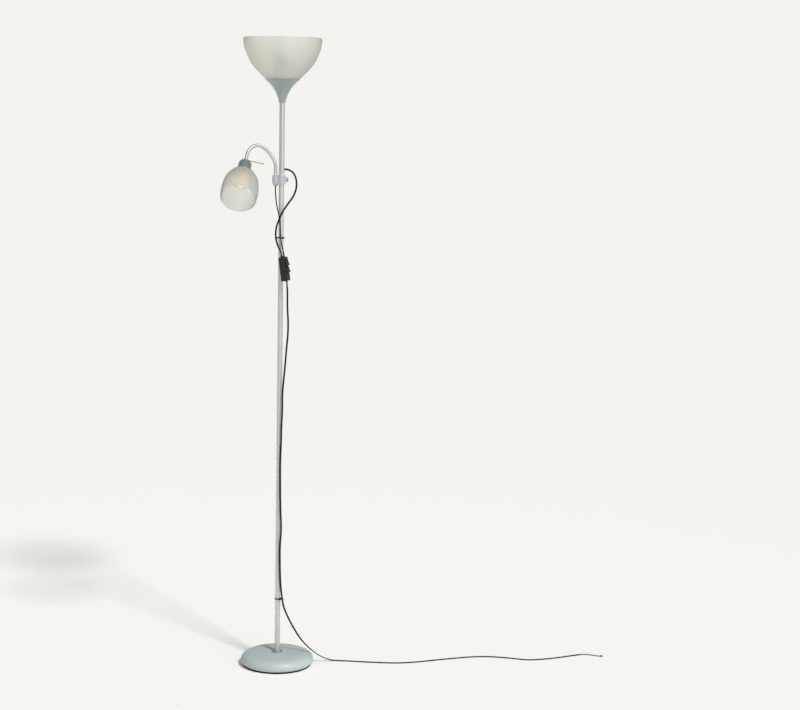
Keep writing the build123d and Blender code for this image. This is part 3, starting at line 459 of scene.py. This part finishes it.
def object_noise(tree, scale, detail=3.0, roughness=0.5, stretch=(1, 1, 1)):
    """Noise fixed to the object, drawn out along an axis by stretch."""
    where = tree.nodes.new("ShaderNodeTexCoord")
    mapping = tree.nodes.new("ShaderNodeMapping")
    mapping.inputs["Scale"].default_value = stretch
    noise = tree.nodes.new("ShaderNodeTexNoise")
    noise.inputs["Scale"].default_value = scale
    noise.inputs["Detail"].default_value = detail
    noise.inputs["Roughness"].default_value = roughness
    tree.links.new(where.outputs["Object"], mapping.inputs["Vector"])
    tree.links.new(mapping.outputs["Vector"], noise.inputs["Vector"])
    return noise


def spread(tree, source, low, high, socket="Fac"):
    """Stretch a noise's middle range to run from low to high."""
    ramp = tree.nodes.new("ShaderNodeMapRange")
    ramp.inputs["From Min"].default_value = 0.3
    ramp.inputs["From Max"].default_value = 0.7
    ramp.inputs["To Min"].default_value = low
    ramp.inputs["To Max"].default_value = high
    tree.links.new(source.outputs[socket], ramp.inputs["Value"])
    return ramp.outputs["Result"]


def two_tones(tree, shader, factor, first, second):
    mix = tree.nodes.new("ShaderNodeMix")
    mix.data_type = "RGBA"
    mix.inputs["A"].default_value = (*first, 1)
    mix.inputs["B"].default_value = (*second, 1)
    tree.links.new(factor, mix.inputs["Factor"])
    tree.links.new(mix.outputs["Result"], shader.inputs["Base Color"])
    return mix


def grain(tree, shader, noise, strength, distance):
    bump = tree.nodes.new("ShaderNodeBump")
    bump.inputs["Strength"].default_value = strength
    bump.inputs["Distance"].default_value = distance
    tree.links.new(noise.outputs["Fac"], bump.inputs["Height"])
    tree.links.new(bump.outputs["Normal"], shader.inputs["Normal"])
    return bump


def shifted(colour, amount):
    return tuple(min(max(c * (1 + amount), 0), 1) for c in colour)


def paint(
    name,
    colour,
    roughness,
    metallic=0.0,
    coat=0.0,
    shine=0.5,
    grain_scale=900,
    grain_depth=0.00002,
    vary=0.03,
):
    """Sprayed paint or moulded plastic: a faint cloud in the colour, uneven gloss and a fine skin."""
    material, tree, shader = new_material(name)
    cloud = object_noise(tree, CLOUD_SCALE, 2)
    two_tones(tree, shader, spread(tree, cloud, 0, 1), shifted(colour, -vary), shifted(colour, vary))
    gloss = object_noise(tree, GLOSS_SCALE, 4)
    tree.links.new(spread(tree, gloss, roughness - 0.04, roughness + 0.05), shader.inputs["Roughness"])
    skin = object_noise(tree, grain_scale, 2)
    grain(tree, shader, skin, SKIN_STRENGTH, grain_depth)
    shader.inputs["Metallic"].default_value = metallic
    shader.inputs["Specular IOR Level"].default_value = shine
    shader.inputs["Coat Weight"].default_value = coat
    shader.inputs["Coat Roughness"].default_value = 0.12
    return material


def metal(name, colour, roughness, stretch=(1, 1, 40)):
    """Bare or plated metal with fine drawn lines."""
    material, tree, shader = new_material(name)
    lines = object_noise(tree, DRAWN_LINES_SCALE, 3, stretch=stretch)
    two_tones(tree, shader, spread(tree, lines, 0, 1), shifted(colour, -0.06), shifted(colour, 0.06))
    tree.links.new(spread(tree, lines, roughness - 0.05, roughness + 0.08), shader.inputs["Roughness"])
    grain(tree, shader, lines, 0.2, 0.00001)
    shader.inputs["Metallic"].default_value = 1.0
    return material


def frosted(name, colour, see_through, roughness, scatter):
    """Milky plastic sheet that lets light and a soft shadow of what is behind it through."""
    material, tree, shader = new_material(name)
    cloud = object_noise(tree, 9, 2)
    two_tones(tree, shader, spread(tree, cloud, 0, 1), shifted(colour, -0.012), shifted(colour, 0.012))
    skin = object_noise(tree, 1500, 2)
    grain(tree, shader, skin, 0.25, 0.00001)
    shader.inputs["Roughness"].default_value = roughness
    shader.inputs["IOR"].default_value = 1.45
    shader.inputs["Transmission Weight"].default_value = see_through
    shader.inputs["Subsurface Weight"].default_value = scatter
    shader.inputs["Subsurface Radius"].default_value = (1.0, 1.0, 0.95)
    shader.inputs["Subsurface Scale"].default_value = 0.010
    return material


pole_paint = paint("pole_paint", (0.59, 0.60, 0.58), 0.31, metallic=0.7, grain_depth=0.000005)
ring_paint = paint("ring_paint", (0.36, 0.38, 0.38), 0.34, metallic=0.6)
base_enamel = paint(
    "base_enamel", (0.445, 0.51, 0.51), 0.42, coat=0.12, shine=0.4, grain_scale=500, vary=0.012
)
cup_plastic = paint("cup_plastic", (0.33, 0.38, 0.375), 0.34, metallic=0.45, vary=0.025)
# the head cap's grey plastic is the cup's plastic made darker: painted shade on the cap
cap_plastic_painted_shade = paint("cap_plastic_painted_shade", (0.215, 0.26, 0.255), 0.34, metallic=0.45, vary=0.025)
clamp_plastic = paint("clamp_plastic", (0.43, 0.455, 0.49), 0.40)
wing_plastic = paint("wing_plastic", (0.34, 0.355, 0.38), 0.38)
holder_plastic = paint("holder_plastic", (0.74, 0.74, 0.71), 0.42)
ring_plastic = paint("ring_plastic", (0.05, 0.05, 0.052), 0.35)
gloss_black = paint(
    "gloss_black", (0.012, 0.011, 0.011), 0.20, coat=0.05, shine=0.3, grain_scale=300, vary=0.1
)
rocker_black = paint(
    "rocker_black", (0.016, 0.014, 0.013), 0.16, coat=0.15, shine=0.4, grain_scale=250, vary=0.1
)
flex_rubber = paint("flex_rubber", (0.010, 0.009, 0.008), 0.45, shine=0.12, grain_scale=1400, vary=0.15)
tie_nylon = paint("tie_nylon", (0.010, 0.010, 0.010), 0.42, shine=0.15, grain_scale=700, vary=0.1)
pad_foam = paint(
    "pad_foam", (0.012, 0.012, 0.012), 0.85, shine=0.1, grain_scale=1800, grain_depth=0.0002, vary=0.2
)
cast_iron = paint(
    "cast_iron", (0.07, 0.07, 0.07), 0.75, metallic=0.5, grain_scale=400, grain_depth=0.0003
)
neck_paint = paint("neck_paint", (0.58, 0.59, 0.57), 0.30, metallic=0.75)
bush_rubber = paint("bush_rubber", (0.02, 0.02, 0.02), 0.55)
zinc = metal("zinc", (0.60, 0.61, 0.62), 0.34)
handle_steel = metal("handle_steel", (0.20, 0.205, 0.21), 0.42)
nickel = metal("nickel", (0.74, 0.72, 0.68), 0.20)
brass = metal("brass", (0.24, 0.19, 0.10), 0.42)
bowl_frost = frosted("bowl_frost", (0.925, 0.91, 0.85), 0.80, 0.42, 1.0)
shade_frost = frosted("shade_frost", (0.935, 0.94, 0.89), 0.86, 0.42, 1.0)

opal_glass, opal_tree, opal_shader = new_material("opal_glass")
opal_shader.inputs["Roughness"].default_value = 0.18
opal_shader.inputs["Subsurface Weight"].default_value = 0.3
opal_shader.inputs["Subsurface Scale"].default_value = 0.004
two_tones(
    opal_tree,
    opal_shader,
    spread(opal_tree, object_noise(opal_tree, 20), 0, 1),
    (0.66, 0.71, 0.77),
    (0.68, 0.73, 0.78),
)

clear_glass, clear_tree, clear_shader = new_material("clear_glass")
clear_shader.inputs["Base Color"].default_value = (0.98, 0.975, 0.96, 1)
clear_shader.inputs["IOR"].default_value = 1.3
clear_shader.inputs["Transmission Weight"].default_value = 1.0
clear_tree.links.new(
    spread(clear_tree, object_noise(clear_tree, 30), 0.0, 0.03), clear_shader.inputs["Roughness"]
)

filament_glow, filament_tree, filament_shader = new_material("filament_glow")
two_tones(
    filament_tree,
    filament_shader,
    spread(filament_tree, object_noise(filament_tree, 400), 0, 1),
    (0.85, 0.40, 0.08),
    (0.95, 0.52, 0.14),
)
filament_shader.inputs["Roughness"].default_value = 0.35
filament_shader.inputs["Emission Color"].default_value = (1.0, 0.45, 0.10, 1)
filament_shader.inputs["Emission Strength"].default_value = 2.4


def dress(piece, material):
    piece.data.materials.clear()
    piece.data.materials.append(material)
    return piece


def add_piece(piece, material, body, slot, *replaced):
    """Give a finished piece its material and its body, and hide the nodes it stands for; slot is not used.
    """
    dress(piece, material)
    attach(piece, body)
    if replaced:
        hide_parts(*replaced)
    return piece


# ------------------------------------------------------------------ the cords themselves
twin = twin_section(FLEX_WIDTH, FLEX_THICKNESS)
TO_FRONT = (0.15, -1.0, 0.1)
LYING = (0, 0, 1)

loop_path = smooth_path("loop_cord", loop_route)
loop_facings = [
    (0.0, (0.6, -0.8, 0.1)),
    (0.15, (0.2, -0.9, 0.3)),
    (0.35, (0.0, -1.0, 0.2)),
    (0.6, (-0.5, -0.8, 0.1)),
    (0.85, (0.35, -1.0, 0.0)),
    (1.0, tuple(SWITCH_FACE)),
]
loop_cord = swept("loop_flex", loop_path, twin, loop_facings)
add_piece(loop_cord, flex_rubber, "stand", "black_cord", "loop_cord")

SPLIT_FACING = (1.0, -0.25, 0.0)
upper_path = smooth_path("reading_upper", reading_upper_route)
reading_upper = swept("reading_flex_upper", upper_path, twin, [(0.0, SPLIT_FACING), (1.0, SPLIT_FACING)])
dress(reading_upper, flex_rubber)
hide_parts("reading_cord_upper")
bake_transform(reading_upper)

lower_path = smooth_path("reading_lower", reading_lower_route)
lower_facings = [(0.0, SPLIT_FACING), (0.6, SPLIT_FACING), (1.0, tuple(SWITCH_FACE))]
reading_lower = swept("reading_flex_lower", lower_path, twin, lower_facings)
dress(reading_lower, flex_rubber)
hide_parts("reading_cord_lower")
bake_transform(reading_lower)

inner_route = [
    (0, 0, 1661.0),
    (0, 0, 1546.0),
    (0, 0, 1443.0),
    tuple(exit_way * 1.5 + Vector((0, 0, EXIT_HEIGHT + 0.5))),
    tuple(exit_point),
]
inner_path = smooth_path("inner", inner_route)
inner_lead = swept(
    "inner_flex", inner_path, round_section(INNER_FLEX_DIAMETER), [(0.0, TO_FRONT), (1.0, TO_FRONT)]
)
add_piece(inner_lead, flex_rubber, "stand", "black_cord", "inner_lead")

tail_path = smooth_path("tail", tail_route)
tail = swept("tail_core", tail_path, round_section(TAIL_DIAMETER), [(0.0, LYING), (1.0, LYING)])
add_piece(tail, flex_rubber, "stand", "black_cord", "cord_tail")

lead_path = smooth_path("lead", lead_route)
lead_facings = [
    (0.0, tuple(SWITCH_FACE)),
    (0.015, (0.4, -1.0, 0.0)),
    (0.14, (-0.1, -1.0, 0.0)),
    (0.22, (0.45, -1.0, 0.0)),
    (0.32, (-0.2, -1.0, 0.0)),
    (0.42, (0.2, -1.0, 0.0)),
    (0.475, (0.3, -1.0, 0.0)),
    (0.52, (0.5, -1.0, 0.5)),
    (0.56, (0.2, -0.2, 1.0)),
    (0.585, LYING),
    (1.0, LYING),
]
lead = swept("mains_flex", lead_path, twin, lead_facings)
add_piece(lead, flex_rubber, "stand", "black_cord", "lead_hanging", "lead_floor")

# ------------------------------------------------------------------ uplight
FLARE_CENTRE = (107.308, 1603.936)
FLARE_RADIUS = 99.809
LINING_CENTRE = (112.535, 1602.062)
LINING_RADIUS = 107.107


def bearing(centre, x, z):
    """Angle in degrees of a point of the outline, seen from an arc's centre."""
    return math.degrees(math.atan2(z - centre[1], x - centre[0])) % 360


cup_outline = (
    arc(
        FLARE_CENTRE,
        FLARE_RADIUS,
        bearing(FLARE_CENTRE, 8.9, CUP_BOTTOM),
        bearing(FLARE_CENTRE, 49.5, CUP_RIM),
        30,
    )
    + [(49.1, CUP_RIM), (48.4, CUP_RIM - 0.1), (46.4, DECK_TOP), (HOLDER_HOLE, DECK_TOP)]
    + [(HOLDER_HOLE, DECK_TOP - DECK_THICKNESS)]
    + arc(
        LINING_CENTRE,
        LINING_RADIUS,
        bearing(LINING_CENTRE, 39.6, DECK_TOP - DECK_THICKNESS),
        bearing(LINING_CENTRE, 10.3, 1634.0),
        20,
    )
    + [(CUP_BORE, 1634.0), (CUP_BORE, CUP_BOTTOM), (8.9, CUP_BOTTOM)]
)
cup = turned("flared_cup", cup_outline, sides=96)
add_piece(cup, cup_plastic, "stand", "grey_plastic", "shade_cup")

bowl_outside = flowing(
    [(45.9, DECK_TOP), (78.3, 1716.4), (99.2, 1751.0), (110.0, BOWL_TOP - 2.5)], (0.66, 0.75), (0.03, 1), 14
)
bowl_lip = arc((109.35, BOWL_TOP - 0.8), 0.8, 0, 180, 6)
bowl_inside = flowing(
    [(108.4, BOWL_TOP - 2.5), (97.7, 1751.7), (77.1, 1717.5), (45.1, DECK_TOP + SHADE_WALL)],
    (-0.03, -1),
    (-0.66, -0.75),
    14,
)
bowl_outline = (
    [(HOLDER_HOLE, DECK_TOP)]
    + bowl_outside
    + bowl_lip
    + bowl_inside
    + [(HOLDER_HOLE, DECK_TOP + SHADE_WALL), (HOLDER_HOLE, DECK_TOP)]
)
bowl = turned("frosted_bowl", bowl_outline, sides=128)
add_piece(bowl, bowl_frost, "stand", "frosted_plastic", "bowl_shade")

globe_outline = flowing(
    [(0.001, BULB_TOP), (30.0, 1759.0), (17.0, 1718.0), (13.5, 1697.0)], (1, 0), (-0.05, -1), 16
)
globe = turned("opal_globe", [*globe_outline, (0.001, 1697.0)], sides=64)
add_piece(globe, opal_glass, "stand", "opal_glass", "bulb_globe")

# ------------------------------------------------------------------ base
base_outside = flowing(
    [(20.0, BASE_TOP), (60.0, 36.4), (85.0, 34.2), (99.0, 28.0), (105.4, BASE_EDGE)], (1, 0), (0, -1), 14
)
base_roll = flowing([(105.4, BASE_EDGE), (103.9, 9.8), (99.5, 5.1)], (0, -1), (-0.8, -0.6), 6)
base_lining_roll = flowing([(98.4, 5.1), (102.8, 10.3), (104.2, BASE_EDGE)], (0.8, 0.6), (0, 1), 6)
base_inside = flowing(
    [(104.2, BASE_EDGE), (98.1, 27.2), (84.6, 33.05), (59.9, 35.2), (20.0, BASE_LINING)],
    (0, 1),
    (-1, 0),
    8,
)
base_outline = (
    [(STUD_HOLE, BASE_TOP)]
    + base_outside
    + base_roll[1:]
    + base_lining_roll
    + base_inside[1:]
    + [(STUD_HOLE, BASE_LINING), (STUD_HOLE, BASE_TOP)]
)
base_dish = turned("base_dish", base_outline, sides=128)
add_piece(base_dish, base_enamel, "stand", "base_paint", "base_cover")

# ------------------------------------------------------------------ flexible neck
neck_curve = flowing(
    [
        (NECK_X, 0, NECK_STRAIGHT_TOP),
        (-29.5, -8.0, 1474.0),
        (-61.5, -38.0, 1501.5),
        (-84.5, -75.0, 1489.5),
        tuple(HEAD_TOP),
    ],
    (0, 0, 1),
    tuple(HEAD_AXIS),
    40,
)
neck_line = [Vector((NECK_X, 0, z)) for z in np.linspace(NECK_BOTTOM, NECK_STRAIGHT_TOP, 40)[:-1]]
neck_line += [Vector(p) for p in neck_curve]
neck_line += [HEAD_TOP + HEAD_AXIS * t for t in (3.0, 6.0, 9.0)]
neck_gone = np.concatenate([[0], np.cumsum([(b - a).length for a, b in zip(neck_line, neck_line[1:])])])
NECK_LENGTH = float(neck_gone[-1])


def neck_place(reach):
    return Vector([np.interp(reach, neck_gone, [p[k] for p in neck_line]) for k in range(3)])


def neck_rings(low, high):
    """(reach along the neck, radius) for each ring of the wound tube between two reaches."""
    rings = []
    ribs = max(1, round((high - low) / NECK_RIB_PITCH))
    pitch = (high - low) / ribs
    for rib in range(ribs):
        foot = low + rib * pitch
        for share in NECK_RIB_SHARES:
            swell = math.sin(math.pi * share) ** 0.5
            rings.append((foot + share * pitch, NECK_RADIUS - NECK_RIB_DEPTH * (1 - swell)))
    rings.append((high, NECK_RADIUS - NECK_RIB_DEPTH))
    return rings


def neck_piece(name, low, high, sides=32):
    """One stretch of the neck, with its bore, swept along the neck's line."""
    guide = Vector((0.77, -0.64, 0))
    rings = neck_rings(low, high)
    outer = [(r, reach) for reach, r in rings]
    bore = [(NECK_BORE, reach) for reach in np.linspace(high, low, 24)]
    outline = outer + bore + [outer[0]]
    # a straight tube first, then each ring is carried to its place on the line
    piece = turned(name, outline, sides=sides, smooth_angle=NECK_SMOOTH_ANGLE)
    for v in piece.data.vertices:
        reach = v.co.z / MM
        spot = neck_place(reach)
        ahead = neck_place(min(reach + NECK_SIGHT, NECK_LENGTH))
        way = (ahead - neck_place(max(reach - NECK_SIGHT, 0))).normalized()
        across = (guide - way * guide.dot(way)).normalized()
        over = way.cross(across)
        v.co = (spot * MM) + across * v.co.x + over * v.co.y
    piece.data.update()
    return piece


neck_joint_spots = [
    Vector(j["pos_m"]) for j in frame["joints"] if j["name"].startswith(("neck_bend", "neck_turn"))
]
neck_reaches = [
    min(neck_gone, key=lambda g: (neck_place(g) * MM - spot).length) for spot in neck_joint_spots
]
neck_cuts = [0.0]
for a, b in zip(neck_reaches, neck_reaches[1:]):
    neck_cuts.append((a + b) / 2)
neck_cuts.append(NECK_LENGTH)
for k, (low, high) in enumerate(zip(neck_cuts, neck_cuts[1:])):
    piece = neck_piece(f"neck_tube_{k + 1}", low, high)
    dress(piece, neck_paint)
    names = [f"neck_link_{k + 1}"]
    if k == len(neck_cuts) - 2:
        names.append(f"neck_link_{k + 2}")
    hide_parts(*names)
    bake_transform(piece)

# ------------------------------------------------------------------ reading head
cap_outline = (
    arc((5.5, 12.3), 12.3, -88, -8, 12)
    + [(18.7, CAP_LENGTH), (17.2, CAP_LENGTH), (15.8, 11.0)]
    + arc((5.5, 12.3), 10.8, -12, -88, 8)
    + [(5.93, 0.0)]
)
cap = turned("head_dome", cap_outline, sides=72, place=HEAD_PLACE)
# the cap gets the darker grey plastic, which carries painted shade
add_piece(cap, cap_plastic_painted_shade, "head", "grey_plastic", "head_cap")

bell_outside = flowing(
    [(18.3, CAP_LENGTH), (31.0, 53.0), (45.6, 82.0), (50.3, 121.0), (49.0, 147.4)], (1, 0.55), (-0.1, 1), 12
)
bell_inside = flowing(
    [(47.6, 147.4), (48.7, 121.0), (44.1, 82.6), (30.0, 54.3), (17.8, 43.6)], (0.1, -1), (-1, -0.55), 12
)
bell_outline = (
    [(SMALL_HOLDER_HOLE, CAP_LENGTH)]
    + bell_outside
    + [(48.7, 147.85), (48.3, 148.0), (47.9, 147.85)]
    + bell_inside
    + [(SMALL_HOLDER_HOLE, CAP_LENGTH + SHADE_WALL), (SMALL_HOLDER_HOLE, CAP_LENGTH)]
)
bell = turned("frosted_bell", bell_outline, sides=112, place=HEAD_PLACE)
add_piece(bell, shade_frost, "head", "frosted_plastic", "small_shade")

# ------------------------------------------------------------------ materials of the frame's own nodes
node_materials = {
    "base_weight": cast_iron,
    "base_pad": pad_foam,
    "base_stud": zinc,
    "base_nut": zinc,
    "base_washer": zinc,
    "foot_ring": ring_paint,
    "top_nipple": zinc,
    "pole_grommet": bush_rubber,
    "lampholder": holder_plastic,
    "shade_ring": holder_plastic,
    "bulb_cap": nickel,
    "clamp_liner": holder_plastic,
    "clamp_body": clamp_plastic,
    "thumb_screw": wing_plastic,
    "neck_nut": zinc,
    "neck_bush": bush_rubber,
    "neck_end_nut": zinc,
    "head_handle": handle_steel,
    "small_lampholder": holder_plastic,
    "small_shade_ring": ring_plastic,
    "small_bulb_cap": nickel,
    "small_bulb_globe": clear_glass,
    "small_bulb_filament": filament_glow,
    "switch_front_shell": gloss_black,
    "switch_back_shell": gloss_black,
    "upper_rocker": rocker_black,
    "lower_rocker": rocker_black,
    "rocker_pins": zinc,
    "switch_screws": zinc,
    "switch_contacts": brass,
    "cord_end_cap": gloss_black,
    "cable_tie_upper": tie_nylon,
    "cable_tie_lower": tie_nylon,
}
for number in range(1, 5):
    node_materials[f"pole_section_{number}"] = pole_paint
for number in range(1, 4):
    node_materials[f"pole_coupler_{number}"] = zinc
for name, material in node_materials.items():
    dress(nodes[name], material)

# ------------------------------------------------------------------ floor, backdrop and light
BACKDROP = (0.905, 0.896, 0.863)
AMBIENT = 0.36
# each lamp: its name, the way to it, its strength and how wide it is in the sky
LAMPS = (
    ("key", (0.388, -0.512, 0.766), 2.22, math.radians(9)),
    ("front", (0.560, -0.824, 0.087), 0.80, math.radians(50)),
)
level_light = AMBIENT + sum(strength * way[2] for _, way, strength, _ in LAMPS) / math.pi
floor_paint = tuple(min(c / level_light, 1) for c in BACKDROP)
clear_selection()
bpy.ops.mesh.primitive_circle_add(vertices=64, radius=60.0, fill_type="NGON", location=(0, 0, 0))
floor = bpy.context.object
floor.name = "floor"
floor_material = bpy.data.materials.new("floor_pale")
floor_material.use_nodes = True
floor_tree = floor_material.node_tree
floor_tree.nodes.clear()
floor_out = floor_tree.nodes.new("ShaderNodeOutputMaterial")
floor_diffuse = floor_tree.nodes.new("ShaderNodeBsdfDiffuse")
floor_diffuse.inputs["Color"].default_value = (*floor_paint, 1)
floor_far = floor_tree.nodes.new("ShaderNodeEmission")
floor_far.inputs["Color"].default_value = (*BACKDROP, 1)
floor_where = floor_tree.nodes.new("ShaderNodeTexCoord")
floor_length = floor_tree.nodes.new("ShaderNodeVectorMath")
floor_length.operation = "LENGTH"
floor_fade = floor_tree.nodes.new("ShaderNodeMapRange")
floor_fade.interpolation_type = "SMOOTHSTEP"
floor_fade.inputs["From Min"].default_value = 1.2
floor_fade.inputs["From Max"].default_value = 3.5
floor_mix = floor_tree.nodes.new("ShaderNodeMixShader")
floor_tree.links.new(floor_where.outputs["Object"], floor_length.inputs[0])
floor_tree.links.new(floor_length.outputs["Value"], floor_fade.inputs["Value"])
floor_tree.links.new(floor_fade.outputs["Result"], floor_mix.inputs["Fac"])
floor_tree.links.new(floor_diffuse.outputs["BSDF"], floor_mix.inputs[1])
floor_tree.links.new(floor_far.outputs["Emission"], floor_mix.inputs[2])
floor_tree.links.new(floor_mix.outputs["Shader"], floor_out.inputs["Surface"])
floor.data.materials.append(floor_material)

world = bpy.data.worlds.new("studio")
bpy.context.scene.world = world
world.use_nodes = True
world_tree = world.node_tree
world_tree.nodes.clear()
world_out = world_tree.nodes.new("ShaderNodeOutputWorld")
seen = world_tree.nodes.new("ShaderNodeBackground")
seen.inputs["Color"].default_value = (*BACKDROP, 1)
ambient = world_tree.nodes.new("ShaderNodeBackground")
ambient.inputs["Color"].default_value = (1.0, 1.0, 1.0, 1)
ambient.inputs["Strength"].default_value = AMBIENT
light_path = world_tree.nodes.new("ShaderNodeLightPath")
camera_or_through = world_tree.nodes.new("ShaderNodeMath")
camera_or_through.operation = "MAXIMUM"
world_mix = world_tree.nodes.new("ShaderNodeMixShader")
world_tree.links.new(light_path.outputs["Is Camera Ray"], camera_or_through.inputs[0])
world_tree.links.new(light_path.outputs["Is Transmission Ray"], camera_or_through.inputs[1])
world_tree.links.new(camera_or_through.outputs["Value"], world_mix.inputs["Fac"])
world_tree.links.new(ambient.outputs["Background"], world_mix.inputs[1])
world_tree.links.new(seen.outputs["Background"], world_mix.inputs[2])
world_tree.links.new(world_mix.outputs["Shader"], world_out.inputs["Surface"])

for lamp_name, way, strength, width in LAMPS:
    sun = bpy.data.lights.new(lamp_name, "SUN")
    sun.energy = strength
    sun.angle = width
    lamp = bpy.data.objects.new(lamp_name, sun)
    bpy.context.scene.collection.objects.link(lamp)
    lamp.rotation_mode = "QUATERNION"
    lamp.rotation_quaternion = Vector(way).to_track_quat("Z", "Y")
